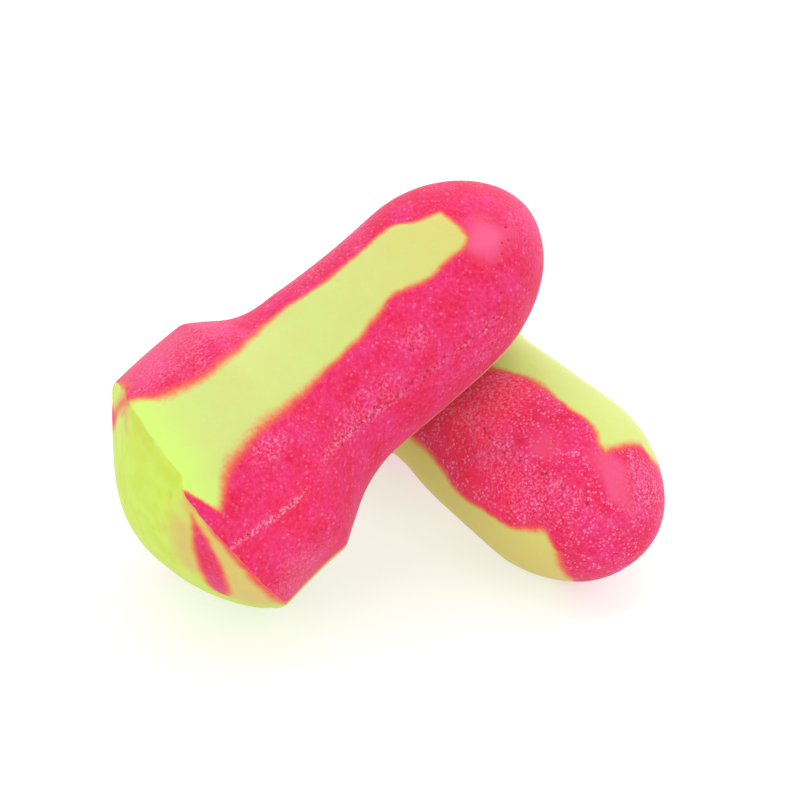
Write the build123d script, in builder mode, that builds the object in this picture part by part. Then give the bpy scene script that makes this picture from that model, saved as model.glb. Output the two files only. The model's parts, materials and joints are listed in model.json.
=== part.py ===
from build123d import *
from math import atan2, cos, radians, sin
import os

# A pair of T-shaped foam ear plugs, millimetres, +Z up. One plug lies on the
# surface. The other stands on its flange and leans its body across the first.
# The origin is on that surface, under the middle of the pair.

# One plug, measured along its axis from the middle of the domed base.
TOTAL_LENGTH = 26.4
FLANGE_DIAMETER = 14.0
BODY_DIAMETER = 10.0
BASE_DOME = 2.7  # height of the convex base end
BAND_LENGTH = 5.0  # straight side of the flange
FLARE_LENGTH = 4.8  # concave run from the flange down to the body
TIP_LENGTH = 6.4  # rounded tip that goes into the ear first
TIP_FULLNESS = 0.48  # 0.55 is an ellipse, less is more pointed

# How the two plugs rest on each other.
LYING_HEADING = -51.6  # degrees about +Z from +X to the way the tip points
LEANING_HEADING = 36.8
LYING_CONTACT = 0.35  # from the lying plug's flare to where it is touched
LEANING_CONTACT = 0.75  # from the leaning plug's tip back to where it touches
REST_GAP = 0.08  # between the two bodies of foam where they cross

FLANGE_RADIUS = FLANGE_DIAMETER / 2
BODY_RADIUS = BODY_DIAMETER / 2
BAND_FRONT = BASE_DOME + BAND_LENGTH
FLARE_FRONT = BAND_FRONT + FLARE_LENGTH
TIP_START = TOTAL_LENGTH - TIP_LENGTH
OUTLINE_STEPS = 200
UP = Vector(0, 0, 1)

# Half of a plug's lengthwise section, with the plug's axis along X.
with BuildLine() as outline:
    dome = TangentArc((0, 0), (BASE_DOME, FLANGE_RADIUS), tangent=(0, 1))
    band = Line(dome @ 1, (BAND_FRONT, FLANGE_RADIUS))
    flare = TangentArc((FLARE_FRONT, BODY_RADIUS), band @ 1, tangent=(-1, 0))
    body = Line((FLARE_FRONT, BODY_RADIUS), (TIP_START, BODY_RADIUS))
    tip = Bezier(
        body @ 1,
        (TIP_START + TIP_FULLNESS * TIP_LENGTH, BODY_RADIUS),
        (TOTAL_LENGTH, TIP_FULLNESS * BODY_RADIUS),
        (TOTAL_LENGTH, 0),
    )
    axis_line = Line(tip @ 1, dome @ 0)

tip_points = [tip @ (step / OUTLINE_STEPS) for step in range(OUTLINE_STEPS + 1)]
dome_points = [dome @ (step / OUTLINE_STEPS) for step in range(OUTLINE_STEPS + 1)]
hull_points = dome_points + [band @ 1] + tip_points


def direction(heading, tilt):
    """Unit vector of an axis, both angles in radians, with the tilt above the level."""
    return Vector(cos(tilt) * cos(heading), cos(tilt) * sin(heading), sin(tilt))


def reach(axis, way):
    """How far a plug extends towards `way` from the middle of its base."""
    along = axis.dot(way)
    across = axis.cross(way).length
    return max(point.X * along + point.Y * across for point in hull_points)


# The lying plug rests on the front edge of its flange and on its tip.
lying_tilt = -min(atan2(FLANGE_RADIUS - point.Y, point.X - BAND_FRONT) for point in tip_points)
lying_axis = direction(radians(LYING_HEADING), lying_tilt)
lying_base = UP * reach(lying_axis, -UP)
lying_crossing = lying_base + lying_axis * (FLARE_FRONT + LYING_CONTACT)


def leaning_base_at(tilt):
    """Middle of the leaning plug's base when it just clears the lying plug at this tilt."""
    axis = direction(radians(LEANING_HEADING), tilt)
    apart = lying_axis.cross(axis).normalized()
    crossing = lying_crossing + apart * (BODY_DIAMETER + REST_GAP)
    return crossing - axis * (TIP_START - LEANING_CONTACT)


# The leaning plug tips over until its flange is down on the surface: its base
# sinks as the tilt grows, so the tilt is found by halving the interval.
low_tilt = 0
high_tilt = radians(80)
for halving in range(50):
    leaning_tilt = (low_tilt + high_tilt) / 2
    leaning_axis = direction(radians(LEANING_HEADING), leaning_tilt)
    if leaning_base_at(leaning_tilt).Z > reach(leaning_axis, -UP):
        low_tilt = leaning_tilt
    else:
        high_tilt = leaning_tilt
leaning_base = leaning_base_at(leaning_tilt)

# The pair's box is centred on the origin.
plug_places = [(lying_base, lying_axis), (leaning_base, leaning_axis)]


def middle(way):
    """Middle of the pair along a unit vector."""
    high = max(base.dot(way) + reach(axis, way) for base, axis in plug_places)
    low = min(base.dot(way) - reach(axis, -way) for base, axis in plug_places)
    return way * ((high + low) / 2)


pair_centre = middle(Vector(1, 0, 0)) + middle(Vector(0, 1, 0))


def section_plane(base, axis):
    """Upright plane through a plug's axis, with X along the axis and its origin at the base."""
    return Plane(origin=base - pair_centre, x_dir=axis, z_dir=axis.cross(UP).normalized())


lying_plane = section_plane(lying_base, lying_axis)
leaning_plane = section_plane(leaning_base, leaning_axis)

# Rear plug, down on the surface.
with BuildPart() as lying_plug:
    with BuildSketch(lying_plane):
        make_face(outline.edges())
    revolve(axis=Axis(lying_plane.origin, lying_plane.x_dir))

# Front plug, leaning across it.
with BuildPart() as leaning_plug:
    with BuildSketch(leaning_plane):
        make_face(outline.edges())
    revolve(axis=Axis(leaning_plane.origin, leaning_plane.x_dir))

os.makedirs("parts", exist_ok=True)

lying_plug.part.label = "lying_plug"
export_step(lying_plug.part, "parts/lying_plug.step")

leaning_plug.part.label = "leaning_plug"
export_step(leaning_plug.part, "parts/leaning_plug.step")
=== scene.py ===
import json
from math import cos, pi, radians, sin, tan

import bpy
import numpy as np
from mathutils import Matrix, Vector, noise


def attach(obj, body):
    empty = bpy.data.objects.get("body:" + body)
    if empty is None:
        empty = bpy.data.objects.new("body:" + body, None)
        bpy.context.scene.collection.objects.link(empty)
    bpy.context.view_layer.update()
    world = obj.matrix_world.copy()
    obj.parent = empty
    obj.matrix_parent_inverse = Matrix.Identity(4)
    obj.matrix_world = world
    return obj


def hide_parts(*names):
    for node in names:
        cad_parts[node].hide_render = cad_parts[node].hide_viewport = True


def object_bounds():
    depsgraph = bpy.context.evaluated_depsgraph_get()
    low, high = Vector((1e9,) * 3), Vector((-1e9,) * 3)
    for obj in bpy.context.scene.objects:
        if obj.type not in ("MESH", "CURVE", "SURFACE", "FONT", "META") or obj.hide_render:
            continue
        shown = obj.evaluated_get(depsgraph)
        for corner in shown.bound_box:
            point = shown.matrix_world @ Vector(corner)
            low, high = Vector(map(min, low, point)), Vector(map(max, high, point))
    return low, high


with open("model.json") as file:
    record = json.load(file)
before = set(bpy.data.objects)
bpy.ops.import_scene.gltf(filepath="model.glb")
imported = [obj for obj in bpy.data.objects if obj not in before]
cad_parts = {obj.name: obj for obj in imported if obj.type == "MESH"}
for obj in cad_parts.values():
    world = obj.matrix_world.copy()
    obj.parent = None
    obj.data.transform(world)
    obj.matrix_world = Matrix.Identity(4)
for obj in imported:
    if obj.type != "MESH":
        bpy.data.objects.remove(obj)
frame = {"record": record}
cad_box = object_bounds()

MM = 0.001

# ---------------------------------------------------------------- sizes, mm
# One plug along its axis, from the middle of its domed base.
DOME_HEIGHT = 2.7
BAND_LENGTH = 5.0
FLARE_LENGTH = 4.8  # about, from the flange's front edge to the neck
FLANGE_BASE_RADIUS = 7.07  # the flange has a little draft
FLANGE_FRONT_RADIUS = 6.91
NECK_RADIUS = 4.87  # where the flare ends
SHOULDER_RADIUS = 5.0  # where the tip starts to round off
FLARE_SLOPE = 33  # degrees, of the cone next to the flange
FLARE_RADIUS = 5.7  # of the arc that turns the cone into the body
TIP_LENGTH = 6.4
TIP_POWER = 1.8  # 2 is an ellipse, less is more pointed
TOTAL_LENGTH = 26.4
EDGE_SOFTNESS = 0.14  # rounding of the flange's two edges
FLANGE_FRONT = DOME_HEIGHT + BAND_LENGTH

# What both plugs' surfaces share.
SEAM_HEIGHT = 0.012
SEAM_WIDTH = 0.12
PORE_DEPTH = 0.13
LUMPS = ((4.5, 0.03), (1.3, 0.014))  # size and height
CELL_LUMPS = (0.32, 0.006)  # the same, but not on smooth skin
EDGE_FRAY = (0.4, 0.06)  # the same, along the cut edge
EDGE_FRAY_REACH = 0.2
DOME_INSET = 0.09  # how far the dome's border sits inside the cut edge
DOME_INSET_PLACE = 0.24  # from the cut edge to where that is most
DOME_INSET_REACH = 0.3

RINGS = 304
SEGMENTS = 314
FIELDS = ("marble", "torn", "pit", "smooth", "flecks_and_painted_light", "deep", "base", "warm_tone_and_shade", "shade_red")

# Places on a plug are given as the distance along its axis in mm, and the angle
# round it in degrees: 0 is the top, and positive angles are on the viewer's side.

LEANING = {
    "seed": 3,
    "cell_size": 0.19,  # mm
    "frost": 0.2,  # how much the cells pale the pink
    "yellow_painted_light": 0.0,  # painted light: how much brighter the yellow is painted
    # where the base edge runs, (angle, distance along the axis)
    "rim": [(-180, 2.75), (-150, 2.85), (-100, 3.4), (-60, 3.9), (-19, 3.76), (0, 3.23), (13, 2.89),
            (25, 2.61), (36, 2.42), (43, 2.3), (46.5, 1.97), (52, 1.87), (62, 1.82), (75, 1.93), (88, 2.11),
            (104, 2.4), (120, 2.82), (130, 3.1), (150, 2.95), (180, 2.75)],
    # how far the flange's front edge is moved along the axis, (angle, mm)
    "front": [(-180, -0.1), (-100, 0.2), (-30, 0.7), (0, 0.55), (60, 0.0), (126, -0.5), (180, -0.1)],
    # how much the dome is flattened between its middle and its edge, (angle, mm)
    "flat": [(-180, 0.0), (-135, -0.2), (-100, 0.1), (-45, 0.6), (0, 0.55), (35, 0.25), (70, 0.0),
             (180, 0.0)],
    # broad dents and swells, (distance along the axis, angle, reach in mm, mm outwards)
    "dents": [(3.0, -38, 2.4, -0.3), (12.0, -32, 2.3, 0.24), (18.5, -35, 3.0, -0.1), (26.0, 75, 2.0, -0.15),
              (5.3, 135, 2.5, -0.14), (22.3, 133, 2.5, -0.12)],
    # yellow streaks on the side, (distance along the axis, lower angle, higher angle)
    "streaks": [
        [(1.7, -1, 43.5), (2.05, -1, 46.5), (2.25, -1, 49.5), (2.45, -1, 54.5), (2.7, -1, 60.5),
         (3.05, -0.5, 59), (3.6, 2, 54.8), (4.2, 8.5, 51.5), (4.8, 11.5, 49.3), (5.5, 13.8, 48.4),
         (6.3, 15.6, 47.8), (7.3, 16.3, 47.4), (8.1, 15.8, 47.5), (8.9, 13.5, 47.3), (10.1, 4.8, 46.5),
         (11.2, -1.4, 45.6), (12.6, -3.5, 45), (13.7, -1.2, 44), (15.2, 1, 41), (16.3, 1.4, 39),
         (17.4, 1.1, 42), (18.5, 1.5, 45), (19.3, 4.5, 44.5), (19.9, 12, 44), (20.6, 15.5, 45),
         (21.35, 18, 42)],
        [(3.0, -24, -4), (3.5, -22, -5), (3.8, -18, -10)],
        [(1.5, 127, 196), (7.0, 128, 205), (10, 132, 212), (12.6, 135, 198), (16, 134, 196), (19.6, 129, 186),
         (21.2, 124, 170), (22.4, 127, 160)],
        [(4.5, 262, 275), (6.5, 255, 283), (9.5, 249, 281), (12.5, 254, 288), (15.5, 258, 284),
         (17.5, 262, 278)],
    ],
    # half the width of the blend between the colours, (distance along the axis, mm)
    "blend": [(0, 0.34), (2, 0.24), (3.2, 0.42), (4.5, 0.5), (7, 0.42), (11, 0.28), (16, 0.22), (26, 0.18)],
    # where the yellow turns warmer, (distance along the axis, share) and (angle, share): painted shade on the
    # lying plug's lower front side, and the foam's own tone on the leaning plug
    "warm_tone_and_shade": [(0, 0.0), (13, 0.0), (17, 0.3), (21.5, 0.7)],
    "warm_tone_and_shade_around": [(-180, 1.0), (180, 1.0)],
    # pink strokes on the yellow base end, (up, side, half width)
    "strokes": [
        [(3.8, 5.45, -0.05), (3.1, 5.55, 0.2), (2.3, 5.52, 0.46), (1.3, 5.38, 0.6), (0.3, 5.13, 0.66),
         (-0.8, 4.77, 0.6), (-1.7, 4.35, 0.52), (-2.3, 4.05, 0.3)],
        [(3.2, -5.4, 0.3), (3.9, -4.5, 0.38), (4.8, -3.3, 0.24), (5.67, -2.25, 0.12), (6.55, -0.94, 0.1),
         (7.1, -0.1, 0.12)],
        [(5.9, -1.2, -0.16), (6.4, -0.5, -0.1)],
        [(4.8, 5.0, -0.1), (3.7, 5.95, -0.02), (2.2, 6.65, 0.1), (0.2, 6.98, 0.1), (-1.8, 6.75, 0.12),
         (-3.6, 6.0, 0.16), (-4.9, 5.0, 0.05)],
        [(-5.6, -3.1, 0.2), (-4.2, -3.9, 0.7), (-2.3, -4.3, 0.8), (-0.4, -4.0, 0.3)],
    ],
    # stronger yellow along a stroke on the base end, (up, side, half width), on the leaning plug a painted
    # shade along the crease by the rim, and in spots, (up, side, reach)
    "deep": [(6.75, 0.2, 0.0), (6.5, 1.4, 0.2), (6.0, 2.6, 0.25), (5.3, 3.8, 0.0), (4.9, 4.4, -0.25)],
    "spots": [(4.29, 3.97, 0.17), (2.46, 3.2, 0.15), (-0.22, 2.41, 0.12), (0.55, 2.63, 0.1),
              (2.02, 2.17, 0.12)],
    # orange blush on the base end, (up, side, reach)
    "blush": [(4.2, 5.3, 0.5), (3.0, 6.1, 0.7), (1.9, 6.3, 0.9), (0.8, 6.2, 1.1), (-0.5, 6.1, 1.2),
              (-1.9, 5.8, 1.3), (-3.2, 5.2, 1.3), (2.7, 4.6, 0.9), (1.5, 4.2, 0.9), (0.3, 3.9, 0.8),
              (6.4, -0.3, 0.45), (5.8, -0.2, 0.3)],
    # the moulding seam, (distance along the axis, angle)
    "seam": [(2.4, 75), (6.5, 78.5), (8.8, 75.5), (11, 82), (14.3, 87), (19.0, 90.5), (21, 93), (24, 97)],
    # how torn the seam is, (distance along the axis, share)
    "torn": [(2.2, 0.7), (2.9, 1.3), (6.2, 1.3), (7.0, 0.2), (8.2, 0.5), (9.0, 0.9), (12.2, 0.8), (14, 0.5),
             (19.5, 0.5), (21, 0.15), (24, 0.1)],
    # the stretch of it with open pores, from and to along the axis
    "seam_pores": (8.6, 19.9),
    # more open pores, (distance along the axis, angle, size in mm)
    "pores": [(15.34, 69.1, 0.13), (15.5, 68.0, 0.1), (20.9, 80, 0.08), (21.6, 66, 0.08), (22.6, 58, 0.07),
              (23.4, 52, 0.08), (23.0, 60, 0.07), (22.2, 63, 0.06), (3.1, 75.5, 0.08), (4.0, 76.3, 0.09),
              (4.9, 77, 0.08), (5.8, 78, 0.08)],
    # smooth skin without cells, painted paler pink there as a painted highlight, (along, angle, half length
    # in mm, half width in mm, share)
    "smooth": [(22.1, 49, 1.35, 1.2, 1.0), (4.3, 112, 2.0, 1.6, 0.3), (5.8, -15, 3.8, 2.6, 0.4)],
    # pale flecks, which on the leaning plug's top also paint it paler as painted light, (along, angle, half
    # length in mm, half width in mm, share)
    "flecks_and_painted_light": [(6.6, -8, 4.0, 2.6, 1.0), (24.8, 60, 1.5, 3.0, 0.35), (15.6, 66, 1.2, 1.0, 0.6),
               (6.5, 56, 1.2, 0.6, 0.8), (12, 75, 3, 0.8, 0.6), (4.2, 111, 2.2, 1.8, 1.0),
               (16, -30, 5.0, 2.0, 0.7), (19, 108, 4, 1.0, 0.5)],
    # painted shade and bounce light: a deeper, brighter red pink where the pink lies in shade, (along, angle,
    # half length in mm, half width in mm, share)
    "shade_red": [(5.0, 84, 3.0, 2.5, 0.15)],
}

LYING = {
    "seed": 8,
    "cell_size": 0.16,
    "frost": 1.4,
    # painted light: the lying plug's yellow is painted brighter, making up for the leaning plug's shade on it
    "yellow_painted_light": 0.25,
    "rim": [(-180, 2.7), (-60, 2.9), (25, 3.3), (80, 2.7), (110, 2.5), (180, 2.7)],
    "front": [(-180, -1.3), (-120, -0.3), (-60, -0.2), (60, -0.2), (110, -0.5), (145, -1.3), (165, -1.9),
              (180, -1.3)],
    "flat": [(-180, 0.1), (-60, 0.3), (60, 0.0), (180, 0.1)],
    "dents": [(25.7, -145, 2.0, -0.3), (8.9, 158, 2.9, -1.45), (6.6, 169, 1.9, -0.5), (2.9, 22, 2.2, -0.35),
              (5.4, -172, 1.9, 0.35), (18.0, -38, 5.0, 0.05), (16.5, 140, 4.0, 0.05)],
    "streaks": [
        [(1.5, -52, 14), (6, -54, 17), (9, -58, 22), (13, -57, 25), (15, -55, 20), (16, -55, 15.5),
         (17, -56, 10), (18, -57, 9), (19.4, -58, 10), (20.6, -57, 8.5), (21.5, -54, 6.5), (22.2, -52, 7.5),
         (22.7, -52, 11), (23.2, -50, 10)],
        [(21.0, -54, -34), (22.5, -53, -28), (23.2, -52, -27), (23.75, -50, -36)],
        [(1.5, 95, 168), (6, 97, 172), (9, 92, 176), (12.5, 90, 178), (15.5, 92, 177), (16.4, 95, 176),
         (17.2, 99, 174), (18.3, 99, 172), (19.8, 96, 170), (21.8, 94.5, 168), (22.9, 89, 166),
         (23.4, 87, 163), (23.8, 94, 158), (24.15, 103, 146)],
        [(5, 228, 240), (8, 222, 250), (12, 226, 252), (16, 224, 246), (19, 230, 240)],
    ],
    "blend": [(0, 0.4), (8, 0.38), (14, 0.36), (17, 0.32), (21, 0.2), (22.5, 0.3), (26, 0.2)],
    # painted shade: warmer, darker yellow on the lower front side, where the leaning plug shades it
    "warm_tone_and_shade": [(0, 0.8), (14, 0.95), (18, 0.75), (22, 0.65), (24, 0.65)],
    "warm_tone_and_shade_around": [(-180, 0.2), (-60, 0.0), (30, 0.1), (80, 0.9), (160, 1.0), (180, 0.2)],
    "strokes": [
        [(4.8, 2.6, 0.1), (3.4, 4.0, 0.5), (1.2, 4.9, 0.75), (-1.3, 5.0, 0.6), (-3.2, 4.4, 0.15)],
        [(2.0, -5.8, 0.15), (0.2, -4.6, 0.5), (-1.8, -4.0, 0.35), (-3.5, -4.2, 0.1)],
    ],
    "deep": [(5.0, -1.0, 0.0), (3.0, -2.2, 0.5), (1.0, -2.6, 0.1)],
    "spots": [(-2.0, 1.0, 0.2)],
    "blush": [(0.5, 3.4, 0.8), (-1.6, -3.3, 0.7)],
    "seam": [(2.4, 62), (8, 60), (14, 58), (18.0, 55), (22, 53), (24.5, 49.5)],
    "torn": [(2.2, 0.7), (8, 0.6), (16, 0.45), (20, 0.35), (24, 0.3)],
    "seam_pores": (17.6, 19.4),
    "pores": [(20.63, 55.5, 0.1), (19.59, 57.4, 0.1), (21.36, 33.4, 0.08), (22.03, 53.1, 0.13),
              (22.2, 51, 0.09), (23.24, 52.4, 0.11), (24.39, 49.5, 0.12), (24.37, 62.3, 0.09),
              (23.96, 72.8, 0.07), (25.98, 101.4, 0.08)],
    "smooth": [(24.2, 15, 1.4, 0.85, 0.75), (21.2, 38, 1.2, 1.0, 0.5)],
    "flecks_and_painted_light": [(16.5, 30, 2.4, 3.0, 1.0), (22.3, 68, 2.2, 1.6, 0.8), (25, -15, 1.2, 2.0, 0.8),
               (19, 62, 3, 1.2, 0.8)],
    # painted shade: the lying plug's pink is painted deeper red where the leaning plug shades it
    "shade_red": [(16.0, 36, 3.3, 4.0, 0.7), (19.8, 80, 2.8, 2.2, 0.35)],
}

mounts = {mount["name"]: mount for mount in frame["record"]["mounts"]}


def plug_axes(name):
    """Base point in mm, axis to the tip, upward and viewer-side directions of a plug."""
    flange = mounts[f"{name}_flange"]
    axis = -Vector(flange["axis"]).normalized()
    middle = Vector(flange["pos_m"]) / MM
    base = middle - axis * (DOME_HEIGHT + flange["dims"]["length_mm"] / 2)
    side = axis.cross(Vector((0, 0, 1))).normalized()
    up = side.cross(axis)
    return base, axis, up, side


# ------------------------------------------------------------------ curves
def smooth_curve(points, x):
    """A smooth curve through (x, y) points, read at x and held level past its ends."""
    px, py = np.array(points, float).T
    slope = np.gradient(py, px)
    x = np.clip(x, px[0], px[-1])
    i = np.clip(np.searchsorted(px, x) - 1, 0, len(px) - 2)
    width = px[i + 1] - px[i]
    t = (x - px[i]) / width
    return (
        py[i] * (1 + 2 * t) * (1 - t) ** 2
        + py[i + 1] * t**2 * (3 - 2 * t)
        + width * (slope[i] * t * (1 - t) ** 2 - slope[i + 1] * t**2 * (1 - t))
    )


def smoothstep(low, high, x):
    """0 below low, 1 above high, and an S-curve between them."""
    t = np.clip((x - low) / (high - low), 0, 1)
    return t * t * (3 - 2 * t)


def falloff(gap, reach):
    """A soft bump: 1 where the gap is 0, fading out over about twice its reach."""
    return np.exp(-((gap / reach) ** 2))


def perlin(points, size, seed):
    """Smooth noise between about -1 and 1 at points in mm, with features of this size in mm."""
    offset = Vector((seed * 17.3, seed * 5.1, -seed * 9.7))
    return np.array([noise.noise(Vector(p) / size + offset) for p in points.tolist()])


# ----------------------------------------------------------------- outline
def dome_line():
    sphere = (FLANGE_BASE_RADIUS**2 + DOME_HEIGHT**2) / (2 * DOME_HEIGHT)
    turn = np.linspace(0, np.arctan2(FLANGE_BASE_RADIUS, sphere - DOME_HEIGHT), 300)
    return np.stack([sphere * (1 - np.cos(turn)), sphere * np.sin(turn)])


def band_line():
    return np.stack([
        np.linspace(DOME_HEIGHT, FLANGE_FRONT, 200),
        np.linspace(FLANGE_BASE_RADIUS, FLANGE_FRONT_RADIUS, 200),
    ])


def flare_line():
    """The arc between the cone and the body; the cone is the straight run up to it."""
    slope = radians(FLARE_SLOPE)
    cone_drop = FLANGE_FRONT_RADIUS - NECK_RADIUS - FLARE_RADIUS * (1 - cos(slope))
    flare_end = FLANGE_FRONT + cone_drop / tan(slope) + FLARE_RADIUS * sin(slope)
    turn = np.linspace(slope, 0, 200)
    return np.stack([
        flare_end - FLARE_RADIUS * np.sin(turn),
        NECK_RADIUS + FLARE_RADIUS * (1 - np.cos(turn)),
    ])


def tip_line():
    turn = np.linspace(0, pi / 2, 400)
    return np.stack([
        TOTAL_LENGTH - TIP_LENGTH + TIP_LENGTH * np.sin(turn) ** (2 / TIP_POWER),
        SHOULDER_RADIUS * np.maximum(np.cos(turn), 0) ** (2 / TIP_POWER),
    ])


def outline():
    """Rings of one plug: distance along the axis and radius, evenly spaced along the surface."""
    line = np.concatenate([dome_line(), band_line(), flare_line(), tip_line()], axis=1)
    run = np.concatenate([[0], np.cumsum(np.hypot(*np.diff(line, axis=1)))])
    fine_step = 0.005
    fine = np.arange(0, run[-1], fine_step)
    fine_line = np.stack([np.interp(fine, run, row) for row in line])

    # the edges are rounded by averaging over a short stretch, with both ends mirrored
    reach = int(4 * EDGE_SOFTNESS / fine_step)
    window = np.exp(-0.5 * (np.arange(-reach, reach + 1) * fine_step / EDGE_SOFTNESS) ** 2)
    window /= window.sum()
    mirrored = np.stack([
        np.pad(fine_line[0], reach, mode="reflect"),
        np.pad(fine_line[1], reach, mode="reflect", reflect_type="odd"),
    ])
    smooth = np.stack([np.convolve(row, window, mode="valid") for row in mirrored])
    rings = np.linspace(0, len(fine) - 1, RINGS)
    return np.stack([np.interp(rings, np.arange(len(fine)), row) for row in smooth])


# -------------------------------------------------------------------- skin
class Skin:
    """A plug's vertices: distance along the axis in mm, angle in degrees and radius in mm."""

    def __init__(self, look):
        ring_along, ring_radius = outline()
        ring_angle = np.linspace(-180, 180, SEGMENTS, endpoint=False)
        # every ring but the two end points, then those
        self.along = np.append(np.repeat(ring_along[1:-1], SEGMENTS), ring_along[[0, -1]])
        self.radius = np.append(np.repeat(ring_radius[1:-1], SEGMENTS), [0, 0])
        self.angle = np.append(np.tile(ring_angle, RINGS - 2), [0, 0])
        self.on_base = self.along < DOME_HEIGHT
        self.rim = smooth_curve(look["rim"], self.angle)
        self.along = self.along + self.wander(look)

        turn = np.radians(self.angle)
        self.up = self.radius * np.cos(turn)
        self.side = self.radius * np.sin(turn)
        self.place = np.stack([self.along, self.up, self.side], axis=1)
        # how painted borders wander: as shares, and in mm
        self.drift = perlin(self.place, 1.2, look["seed"])
        self.warp = 0.09 * self.drift + 0.06 * perlin(self.place, 0.5, look["seed"] + 1)

    def wander(self, look):
        """Move along the axis: the base edge and the flange's front edge aren't true circles."""
        share = np.clip(self.radius / FLANGE_BASE_RADIUS, 0, 1)
        into_band = smoothstep(DOME_HEIGHT, FLANGE_FRONT, self.along)
        past_front = smoothstep(FLANGE_FRONT, FLANGE_FRONT + FLARE_LENGTH, self.along)
        rim_hold = np.where(self.on_base, share**3, 1 - into_band)
        dome_hold = np.where(self.on_base, 4 * share**2 * (1 - share**2), 0)
        rim_move = (self.rim - DOME_HEIGHT) * rim_hold
        dome_move = smooth_curve(look["flat"], self.angle) * dome_hold
        front_move = smooth_curve(look["front"], self.angle) * into_band * (1 - past_front)
        return rim_move + dome_move + front_move

    def turn_from(self, angle):
        """Degrees round the plug from an angle, -180 to 180."""
        return (self.angle - angle + 180) % 360 - 180

    def across_from(self, angle):
        """The same as a distance in mm over the surface."""
        return np.radians(self.turn_from(angle)) * self.radius

    def gap_to(self, place, angle):
        """Distance in mm over the surface to one place on the side."""
        return np.hypot(self.along - place, self.across_from(angle))


def streak_depth(skin, streak):
    """How deep each vertex is inside a streak, in mm over the surface; negative outside it."""
    table = np.array(streak, float)
    low = smooth_curve(table[:, [0, 1]], skin.along)
    high = smooth_curve(table[:, [0, 2]], skin.along)
    middle, half = (low + high) / 2, (high - low) / 2
    across = np.radians(half - np.abs(skin.turn_from(middle))) * np.maximum(skin.radius, 0.5)
    ends = np.minimum(skin.along - table[0, 0], table[-1, 0] - skin.along)
    inside = np.minimum(across, ends)
    outside = -np.hypot(np.minimum(across, 0), np.minimum(ends, 0))
    return np.where(inside > 0, inside, outside)


def stroke_depth(skin, stroke):
    """How deep each vertex is inside a stroke on the base end, in mm; negative outside it."""
    depth = np.full(len(skin.up), -99.0)
    for (up, side, half), (next_up, next_side, next_half) in zip(stroke, stroke[1:]):
        go_up, go_side = next_up - up, next_side - side
        along = (skin.up - up) * go_up + (skin.side - side) * go_side
        t = np.clip(along / (go_up * go_up + go_side * go_side), 0, 1)
        gap = np.hypot(skin.up - up - t * go_up, skin.side - side - t * go_side)
        depth = np.maximum(depth, half + t * (next_half - half) - gap)
    return depth


def blobs(skin, places):
    """How much some soft round spots on the base end cover, 0 to 1; they merge where they meet."""
    bare = np.ones(len(skin.up))
    for up, side, reach in places:
        bare *= 1 - falloff(np.hypot(skin.up - up, skin.side - side), reach)
    return 1 - bare


def patches(skin, places, edge_drift):
    """How far each vertex is into the strongest of some soft-edged oval patches, 0 to 1."""
    share = np.zeros(len(skin.along))
    for place, angle, length, width, strength in places:
        spread = np.hypot((skin.along - place) / length, skin.across_from(angle) / width)
        inside = 1 - smoothstep(0.3, 1.35, spread + edge_drift * skin.drift)
        share = np.maximum(share, strength * inside)
    return share


# ----------------------------------------------------------- painted fields
def marbling(look, skin):
    """How far into the yellow each vertex is, counted in half widths of the colours' blend."""
    in_streak = np.max([streak_depth(skin, streak) for streak in look["streaks"]], axis=0)
    off_stroke = np.min([-stroke_depth(skin, stroke) for stroke in look["strokes"]], axis=0)
    depth = np.where(skin.on_base, off_stroke, in_streak) + skin.warp
    return np.clip(depth / smooth_curve(look["blend"], skin.along), -4, 4)


def strong_yellow_and_crease_shade(look, skin):
    """Stronger yellow: a stroke and spots on the base end, the stroke on the leaning plug being painted shade
    along the crease, and the side next to the rim.
    """
    stroke = smoothstep(-0.6, 0.2, stroke_depth(skin, look["deep"]) + skin.warp)
    on_end = np.maximum(0.6 * stroke, blobs(skin, look["spots"]))
    return np.where(skin.on_base, on_end, falloff(skin.along - skin.rim, 1.7))


def warm_tone_and_painted_shade(look, skin):
    """Warmer yellow on the side, which is painted shade on the lying plug's lower front side and the foam's
    own tone on the leaning plug, and the orange blush on the base end.
    """
    on_side = smooth_curve(look["warm_tone_and_shade"], skin.along) * smooth_curve(look["warm_tone_and_shade_around"], skin.angle)
    return np.where(skin.on_base, blobs(skin, look["blush"]), on_side)


def torn_foam(look, skin, seam):
    """Torn foam along the seam, a little wider on the body than on the flange."""
    width = 0.15 + 0.12 * (skin.along > 8)
    torn = smooth_curve(look["torn"], skin.along) * falloff(seam, width)
    return np.where(skin.on_base, 0, torn)


def seam_pores(look):
    """Pores scattered along the seam, (distance along the axis, angle, size)."""
    random = np.random.default_rng(look["seed"])
    place, end = look["seam_pores"]
    pores = []
    while place < end:
        middle = float(smooth_curve(look["seam"], np.array([place]))[0])
        pores.append((place, middle + random.normal(0, 1.0), random.uniform(0.07, 0.13)))
        place += random.uniform(0.15, 0.42)
    return pores


def open_pores(look, skin):
    """How far each vertex is into an open pore, 0 to 1."""
    pit = np.zeros(len(skin.along))
    for place, angle, size in look["pores"] + seam_pores(look):
        pit = np.maximum(pit, falloff(skin.gap_to(place, angle), size))
    return pit


def paint(look, skin, seam):
    """The fields that a plug's material reads, but for the painted shade red: one number per vertex each."""
    return {
        "marble": marbling(look, skin),
        "deep": strong_yellow_and_crease_shade(look, skin),
        "warm_tone_and_shade": warm_tone_and_painted_shade(look, skin),
        "torn": torn_foam(look, skin, seam),
        "pit": open_pores(look, skin),
        "smooth": patches(skin, look["smooth"], 0.45),
        "flecks_and_painted_light": patches(skin, look["flecks_and_painted_light"], 0.5) * ~skin.on_base,
        "base": skin.on_base.astype(float),
    }


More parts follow.
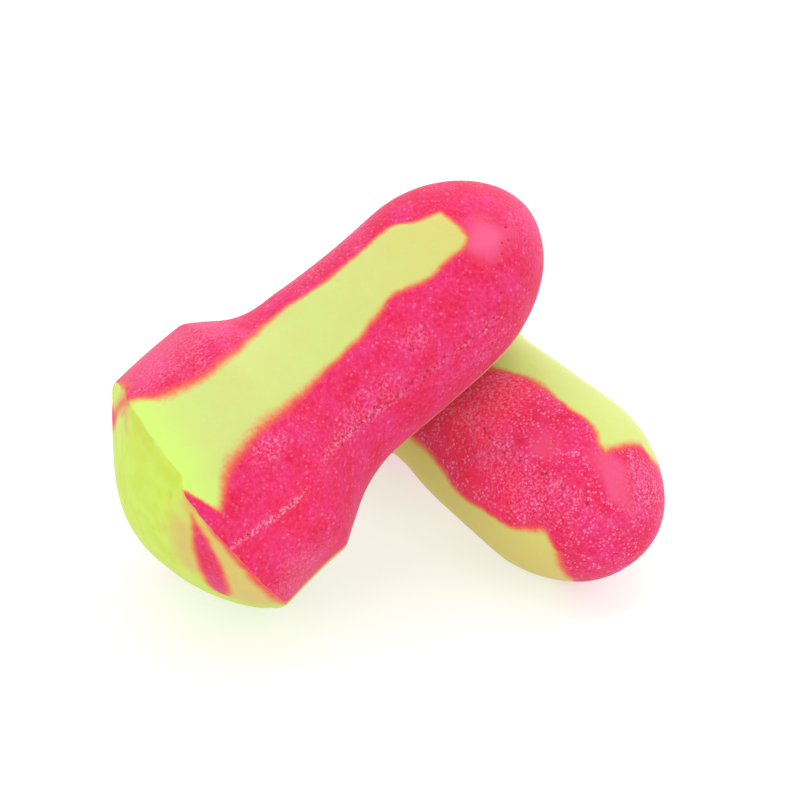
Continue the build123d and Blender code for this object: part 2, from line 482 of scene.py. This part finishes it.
def wear(look, skin, seam, fields):
    """Dent and roughen the skin, raise its seam, pit it, and fray its cut edge."""
    seed = look["seed"]
    push = SEAM_HEIGHT * falloff(seam, SEAM_WIDTH) * ~skin.on_base
    for place, angle, reach, amount in look["dents"]:
        push += amount * falloff(skin.gap_to(place, angle), reach)
    for number, (size, height) in enumerate(LUMPS):
        push += height * perlin(skin.place, size, seed + 2 + number)
    size, height = CELL_LUMPS
    push += height * perlin(skin.place, size, seed + 4) * (1 - fields["smooth"])
    push -= PORE_DEPTH * fields["pit"]

    size, height = EDGE_FRAY
    near_edge = falloff(skin.along - skin.rim, EDGE_FRAY_REACH)
    frayed = height * near_edge * perlin(skin.place, size, seed + 5)
    border = falloff(FLANGE_BASE_RADIUS - skin.radius - DOME_INSET_PLACE, DOME_INSET_REACH)
    skin.along = skin.along + frayed + np.where(skin.on_base, DOME_INSET * border, 0)
    skin.radius = np.maximum(skin.radius + push, 0)


def lathe_faces(count):
    """Quads between neighbouring rings, and a fan of triangles on each end point."""
    ring = np.arange(RINGS - 3)[:, None] * SEGMENTS
    step = np.arange(SEGMENTS)[None, :]
    after = (step + 1) % SEGMENTS
    quads = np.stack([ring + step, ring + after, ring + SEGMENTS + after, ring + SEGMENTS + step], axis=-1)
    faces = quads.reshape(-1, 4).tolist()
    base_end, tip_end = count - 2, count - 1
    tip_ring = (RINGS - 3) * SEGMENTS
    for i in range(SEGMENTS):
        following = (i + 1) % SEGMENTS
        faces.append((base_end, following, i))
        faces.append((tip_ring + i, tip_ring + following, tip_end))
    return faces


def plug_mesh(name, look):
    """A plug as a dense lathe mesh in the row frame, with its painted fields as attributes."""
    skin = Skin(look)
    seam = np.abs(skin.across_from(smooth_curve(look["seam"], skin.along)))
    fields = paint(look, skin, seam)
    wear(look, skin, seam, fields)
    fields["shade_red"] = patches(skin, look["shade_red"], 0.2)  # painted shade red, on the worn shape

    base, axis, up, side = (np.array(v) for v in plug_axes(name))
    turn = np.radians(skin.angle)
    outward = np.outer(np.cos(turn), up) + np.outer(np.sin(turn), side)
    points = (base + np.outer(skin.along, axis) + outward * skin.radius[:, None]) * MM

    mesh = bpy.data.meshes.new(f"{name}_foam")
    mesh.from_pydata(points.tolist(), [], lathe_faces(len(points)))
    mesh.shade_smooth()
    for label in FIELDS:
        attribute = mesh.attributes.new(label, "FLOAT", "POINT")
        attribute.data.foreach_set("value", fields[label].astype(np.float32))
    mesh.update()
    piece = bpy.data.objects.new(f"{name}_foam", mesh)
    bpy.context.collection.objects.link(piece)
    return piece


# --------------------------------------------------------------- materials
LIGHT_LEVEL = 1.4  # how strongly the studio lights the top of the pair

# sRGB, as each looks under the studio's light
PINK = (237, 8, 76)
PINK_CLOUD = (241, 38, 116)
PINK_MOTTLE = (230, 8, 74)
PINK_CELL = (255, 140, 188)
# painted highlight on smooth skin
PINK_SMOOTH_HIGHLIGHT = (251, 108, 152)
PINK_TORN = (250, 156, 190)
# painted shade: the dark inside of the open pores
PINK_PORE_SHADE = (205, 12, 70)
SHADE_RED = (284, 30, 76)  # painted shade and bounce light on the pink; past 255, because it is only ever mixed in part
YELLOW = (218, 226, 134)
YELLOW_CLOUD = (215, 232, 136)
# painted light: a brighter yellow mixed in for light
YELLOW_PAINTED_LIGHT = (234, 252, 134)
YELLOW_NEAR_RIM = (216, 250, 122)
# a warmer, darker yellow: painted shade on the lying plug, the foam's own tone on the leaning one
YELLOW_WARM_AND_SHADED = (228, 211, 120)
YELLOW_PALE = (246, 250, 196)
END_YELLOW = (214, 238, 84)
END_YELLOW_CLOUD = (218, 246, 106)
# painted shade along the leaning plug's crease, and the deeper yellow of the spots
END_YELLOW_CREASE_SHADE_AND_SPOTS = (206, 212, 60)
END_BLUSH = (229, 201, 114)
ORANGE = (246, 100, 84)

# mm, the sizes of the foam's texture
CLOUD_SIZE = 1.5
END_CLOUD_SIZE = 1.1
FROST_SIZE = 0.8
FLAKE_SIZE = 0.34
MOTTLE_SIZE = 0.24
RAGGED_SIZE = 0.22
SHRED_SIZE = 0.14
GRAIN_SIZE = 0.09
BEND_SIZE = 0.08
BEND = 0.13  # how far the cells' outlines are bent


def colour(srgb):
    """The base colour of a surface that looks this sRGB colour under the studio's light."""
    def linear(value):
        value /= 255
        return value / 12.92 if value < 0.04045 else ((value + 0.055) / 1.055) ** 2.4
    return tuple(linear(value) / LIGHT_LEVEL for value in srgb) + (1,)


class Nodes:
    """Short names for building a material's node tree."""

    def __init__(self, material):
        material.use_nodes = True
        self.tree = material.node_tree
        self.shader = self.tree.nodes["Principled BSDF"]

    def add(self, kind, links=None, values=None, **settings):
        made = self.tree.nodes.new(kind)
        for key, value in settings.items():
            setattr(made, key, value)
        for key, value in (values or {}).items():
            made.inputs[key].default_value = value
        for key, source in (links or {}).items():
            self.tree.links.new(source, made.inputs[key])
        return made

    def attribute(self, name):
        return self.add("ShaderNodeAttribute", attribute_name=name).outputs["Fac"]

    def noise(self, vector, size, detail=2.0, roughness=0.5):
        """Noise with features of this size in mm."""
        made = self.add("ShaderNodeTexNoise", {"Vector": vector},
                        {"Scale": 1 / (size * MM), "Detail": detail, "Roughness": roughness})
        return made.outputs["Fac"]

    def span(self, value, low, high, to_low=0.0, to_high=1.0):
        """An S-curve from to_low at low to to_high at high."""
        made = self.add("ShaderNodeMapRange", {"Value": value},
                        {"From Min": low, "From Max": high, "To Min": to_low, "To Max": to_high},
                        interpolation_type="SMOOTHSTEP")
        return made.outputs["Result"]

    def plug_in(self, socket, value):
        if isinstance(value, (int, float, tuple)):
            socket.default_value = value
        else:
            self.tree.links.new(value, socket)

    def math(self, operation, first, second):
        made = self.add("ShaderNodeMath", operation=operation)
        self.plug_in(made.inputs[0], first)
        self.plug_in(made.inputs[1], second)
        return made.outputs["Value"]

    def opposite(self, share):
        return self.math("SUBTRACT", 1, share)

    def mix(self, share, first, second):
        """Blend two colours; a share of 0 is the first."""
        made = self.add("ShaderNodeMix", data_type="RGBA")
        colours = [socket for socket in made.inputs if socket.type == "RGBA"]
        self.plug_in(made.inputs["Factor"], share)
        self.plug_in(colours[0], first)
        self.plug_in(colours[1], second)
        return next(socket for socket in made.outputs if socket.type == "RGBA")

    def surface(self, **values):
        """Set the shader's own sockets, named with underscores for spaces."""
        for key, value in values.items():
            self.shader.inputs[key.replace("_", " ")].default_value = value


def cell_specks(n, place, flecks_and_painted_light, look):
    """Pale cells of uneven size and bent outline, more of them in frosted and flecked places; the flecked
    places are partly painted light.
    """
    bend_noise = n.add("ShaderNodeTexNoise", {"Vector": place}, {"Scale": 1 / (BEND_SIZE * MM)})
    bent = n.add("ShaderNodeVectorMath", {0: bend_noise.outputs["Color"], 2: place},
                 {1: (BEND * MM,) * 3}, operation="MULTIPLY_ADD")
    cell = n.add("ShaderNodeTexVoronoi", {"Vector": bent.outputs["Vector"]},
                 {"Scale": 1 / (look["cell_size"] * MM)})
    chance = n.add("ShaderNodeSeparateColor", {"Color": cell.outputs["Color"]})
    size = n.math("MULTIPLY", chance.outputs["Green"], 0.4)
    dot = n.span(n.math("SUBTRACT", cell.outputs["Distance"], size), -0.1, 0.3, 1, 0)
    frosted = n.span(n.noise(place, FROST_SIZE, detail=3), 0.3, 0.75, 0, look["frost"])
    # flecked places, partly painted light on the top, crowd the pale cells
    crowd = n.math("ADD", n.math("MULTIPLY", flecks_and_painted_light, 0.4), frosted)
    return n.math("MULTIPLY", dot, n.span(n.math("ADD", chance.outputs["Red"], crowd), 0.5, 1.6))


def paleness(n, place, flecks_and_painted_light, smooth, speck, shreds, mottle):
    """How pale the pink is: cells, shreds and flakes, but none on smooth skin."""
    flaked = n.math("MULTIPLY", shreds, n.math("ADD", n.math("MULTIPLY", flecks_and_painted_light, 0.7), 0.08))
    flakes = n.span(n.noise(place, FLAKE_SIZE, detail=4, roughness=0.7), 0.56, 0.68)
    big_flakes = n.math("MULTIPLY", n.math("MULTIPLY", flakes, flecks_and_painted_light), 0.6)
    pale = n.math("ADD", n.math("MULTIPLY", speck, 0.8), n.span(mottle, 0.35, 0.75, 0, 0.2))
    pale = n.math("MAXIMUM", n.math("MAXIMUM", pale, flaked), big_flakes)
    return n.math("MULTIPLY", pale, n.opposite(smooth))


def pink_foam(n, clouds, mottle, pale, smooth):
    """Pink with soft clouds and darker mottling, painted shade as a redder pink in some patches, and a
    painted highlight on smooth skin.
    """
    pink = n.mix(n.span(clouds, 0.32, 0.68), colour(PINK), colour(PINK_CLOUD))
    pink = n.mix(n.span(mottle, 0.2, 0.5, 0.8, 0), pink, colour(PINK_MOTTLE))
    # painted shade and bounce light: deeper red where the pink lies in shade
    pink = n.mix(n.attribute("shade_red"), pink, colour(SHADE_RED))
    pink = n.mix(pale, pink, colour(PINK_CELL))
    # painted highlight: smooth skin painted a paler pink
    return n.mix(n.math("MULTIPLY", smooth, 0.8), pink, colour(PINK_SMOOTH_HIGHLIGHT))


def yellow_foam(n, place, clouds, mottle, base, look):
    """Nearly even yellow, greener and stronger on the cut base end."""
    deep, warm_tone_and_shade = n.attribute("deep"), n.attribute("warm_tone_and_shade")
    yellow = n.mix(n.span(clouds, 0.3, 0.7), colour(YELLOW), colour(YELLOW_CLOUD))
    # painted light: the whole yellow painted brighter by a share
    yellow = n.mix(look["yellow_painted_light"], yellow, colour(YELLOW_PAINTED_LIGHT))
    yellow = n.mix(n.math("MULTIPLY", n.opposite(base), deep), yellow, colour(YELLOW_NEAR_RIM))
    # painted shade on the lying plug's lower front side, and a warmer own tone on the leaning plug
    yellow = n.mix(warm_tone_and_shade, yellow, colour(YELLOW_WARM_AND_SHADED))
    end_clouds = n.span(n.noise(place, END_CLOUD_SIZE, detail=3), 0.35, 0.7)
    cut = n.mix(end_clouds, colour(END_YELLOW), colour(END_YELLOW_CLOUD))
    # painted shade along the crease, and deeper yellow spots, on the base end
    cut = n.mix(n.math("MULTIPLY", deep, 0.5), cut, colour(END_YELLOW_CREASE_SHADE_AND_SPOTS))
    cut = n.mix(warm_tone_and_shade, cut, colour(END_BLUSH))
    yellow = n.mix(base, yellow, cut)
    return n.mix(n.span(mottle, 0.5, 0.8, 0, 0.15), yellow, colour(YELLOW_PALE))


def marbled(n, place, base, pink, yellow):
    """The two colours, which run into each other through orange along a ragged line."""
    ragged = n.math("SUBTRACT", n.noise(place, RAGGED_SIZE, detail=4, roughness=0.65), 0.5)
    ragged = n.math("MULTIPLY", ragged, 1.1)
    ragged = n.math("MULTIPLY", ragged, n.opposite(n.math("MULTIPLY", base, 0.85)))
    edge = n.math("ADD", n.attribute("marble"), ragged)
    foam = n.mix(n.span(edge, -1.2, 0.0), pink, colour(ORANGE))
    return n.mix(n.span(edge, -0.5, 1.2), foam, yellow)


def foam_relief(n, place, speck, torn, smooth):
    """A fine bump from cells, grain and torn foam, nearly none on smooth skin."""
    grain = n.math("MULTIPLY", n.noise(place, GRAIN_SIZE, detail=2), 0.8)
    height = n.math("ADD", n.math("ADD", n.math("MULTIPLY", speck, 0.5), grain), torn)
    height = n.math("MULTIPLY", height, n.opposite(n.math("MULTIPLY", smooth, 0.85)))
    bump = n.add("ShaderNodeBump", {"Height": height}, {"Strength": 0.4, "Distance": 0.03 * MM})
    n.tree.links.new(bump.outputs["Normal"], n.shader.inputs["Normal"])


def foam_material(name, look):
    """Marbled pink and yellow-green foam."""
    material = bpy.data.materials.new(name)
    n = Nodes(material)
    place = n.add("ShaderNodeTexCoord").outputs["Object"]
    base, smooth, flecks_and_painted_light = n.attribute("base"), n.attribute("smooth"), n.attribute("flecks_and_painted_light")
    clouds = n.noise(place, CLOUD_SIZE, detail=3)
    mottle = n.noise(place, MOTTLE_SIZE, detail=4, roughness=0.7)
    shreds = n.span(n.noise(place, SHRED_SIZE, detail=3, roughness=0.7), 0.46, 0.64)
    speck = cell_specks(n, place, flecks_and_painted_light, look)
    torn = n.math("MULTIPLY", n.attribute("torn"), shreds)

    pale = paleness(n, place, flecks_and_painted_light, smooth, speck, shreds, mottle)
    pink = pink_foam(n, clouds, mottle, pale, smooth)
    yellow = yellow_foam(n, place, clouds, mottle, base, look)
    foam = marbled(n, place, base, pink, yellow)
    foam = n.mix(n.math("MINIMUM", n.math("MULTIPLY", torn, 0.8), 0.85), foam, colour(PINK_TORN))
    # painted shade: open pores painted darker, on top of their dents
    foam = n.mix(n.span(n.attribute("pit"), 0.25, 0.8, 0, 0.7), foam, colour(PINK_PORE_SHADE))
    n.tree.links.new(foam, n.shader.inputs["Base Color"])

    foam_relief(n, place, speck, torn, smooth)
    rough = n.math("SUBTRACT", n.span(mottle, 0.3, 0.8, 0.64, 0.76), n.math("MULTIPLY", smooth, 0.14))
    n.tree.links.new(rough, n.shader.inputs["Roughness"])
    n.surface(
        Specular_IOR_Level=0.16,
        Sheen_Weight=0.08,
        Sheen_Roughness=0.4,
        Sheen_Tint=(1.0, 0.86, 0.92, 1),
        Subsurface_Weight=0.3,
        Subsurface_Radius=(1.0, 0.5, 0.3),
        Subsurface_Scale=0.5 * MM,
    )
    return material


# ------------------------------------------------------------------- stage
FLOOR_HALF_WIDTH = 2  # m
CAMERA_DISTANCE = 106.2  # mm
CAMERA_ELEVATION, CAMERA_HEADING, CAMERA_ROLL = 23.9, -0.22, 3.56  # degrees
CAMERA_AIM = Vector((0.67, 0.0, -1.98)) * MM  # from the middle of the CAD box


def camera():
    """A macro lens looking down at the pair from the front."""
    low, high = cad_box
    target = (low + high) / 2 + CAMERA_AIM
    elevation, heading = radians(CAMERA_ELEVATION), radians(CAMERA_HEADING)
    back = Vector((sin(heading) * cos(elevation), -cos(heading) * cos(elevation), sin(elevation)))
    lens = bpy.data.cameras.new("camera")
    lens.lens = 90
    lens.sensor_width = 36
    lens.clip_start = 0.001
    seat = bpy.data.objects.new("camera", lens)
    roll = Matrix.Rotation(radians(CAMERA_ROLL), 4, "Z")
    turn = (-back).to_track_quat("-Z", "Y").to_matrix().to_4x4() @ roll
    seat.matrix_world = Matrix.Translation(target + back * CAMERA_DISTANCE * MM) @ turn
    bpy.context.collection.objects.link(seat)
    bpy.context.scene.camera = seat


def softbox(name, place, width, height, power):
    """A big soft lamp aimed at the pair, all in metres and watts."""
    light = bpy.data.lights.new(name, "AREA")
    light.shape = "RECTANGLE"
    light.size, light.size_y, light.energy = width, height, power
    lamp = bpy.data.objects.new(name, light)
    lamp.location = place
    lamp.rotation_euler = (-Vector(place)).to_track_quat("-Z", "Y").to_euler()
    bpy.context.collection.objects.link(lamp)


def paper_floor():
    """A sheet of pale paper that glows a little, so that shadows on it stay light."""
    reach = FLOOR_HALF_WIDTH
    corners = [(-reach, -reach, 0), (reach, -reach, 0), (reach, reach, 0), (-reach, reach, 0)]
    mesh = bpy.data.meshes.new("floor")
    mesh.from_pydata(corners, [], [(0, 1, 2, 3)])
    floor = bpy.data.objects.new("floor", mesh)
    bpy.context.collection.objects.link(floor)
    paper = bpy.data.materials.new("paper")
    Nodes(paper).surface(
        Base_Color=(0.42, 0.425, 0.4, 1),
        Roughness=0.9,
        Specular_IOR_Level=0.1,
        Emission_Color=(1, 1, 0.97, 1),
        Emission_Strength=0.6,
    )
    mesh.materials.append(paper)


def light_tent():
    """White light from all round, with three soft lamps."""
    world = bpy.data.worlds.new("tent")
    bpy.context.scene.world = world
    world.use_nodes = True
    tent = world.node_tree.nodes["Background"]
    tent.inputs["Color"].default_value = (1, 1, 1, 1)
    tent.inputs["Strength"].default_value = 1.0
    softbox("top_light", (-0.05, 0.05, 0.4), 0.4, 0.4, 0.6)
    softbox("back_light", (0.3, 0.4, 0.25), 0.5, 0.4, 1.0)
    softbox("front_light", (0, -0.45, 0.2), 0.8, 0.3, 1.0)
    bpy.context.scene.view_settings.view_transform = "Standard"


camera()
paper_floor()
light_tent()
for name, look in (("leaning", LEANING), ("lying", LYING)):
    piece = plug_mesh(name, look)
    piece.data.materials.append(foam_material(f"{name}_foam", look))
    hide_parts(f"{name}_plug")
    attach(piece, f"{name}_plug_body")
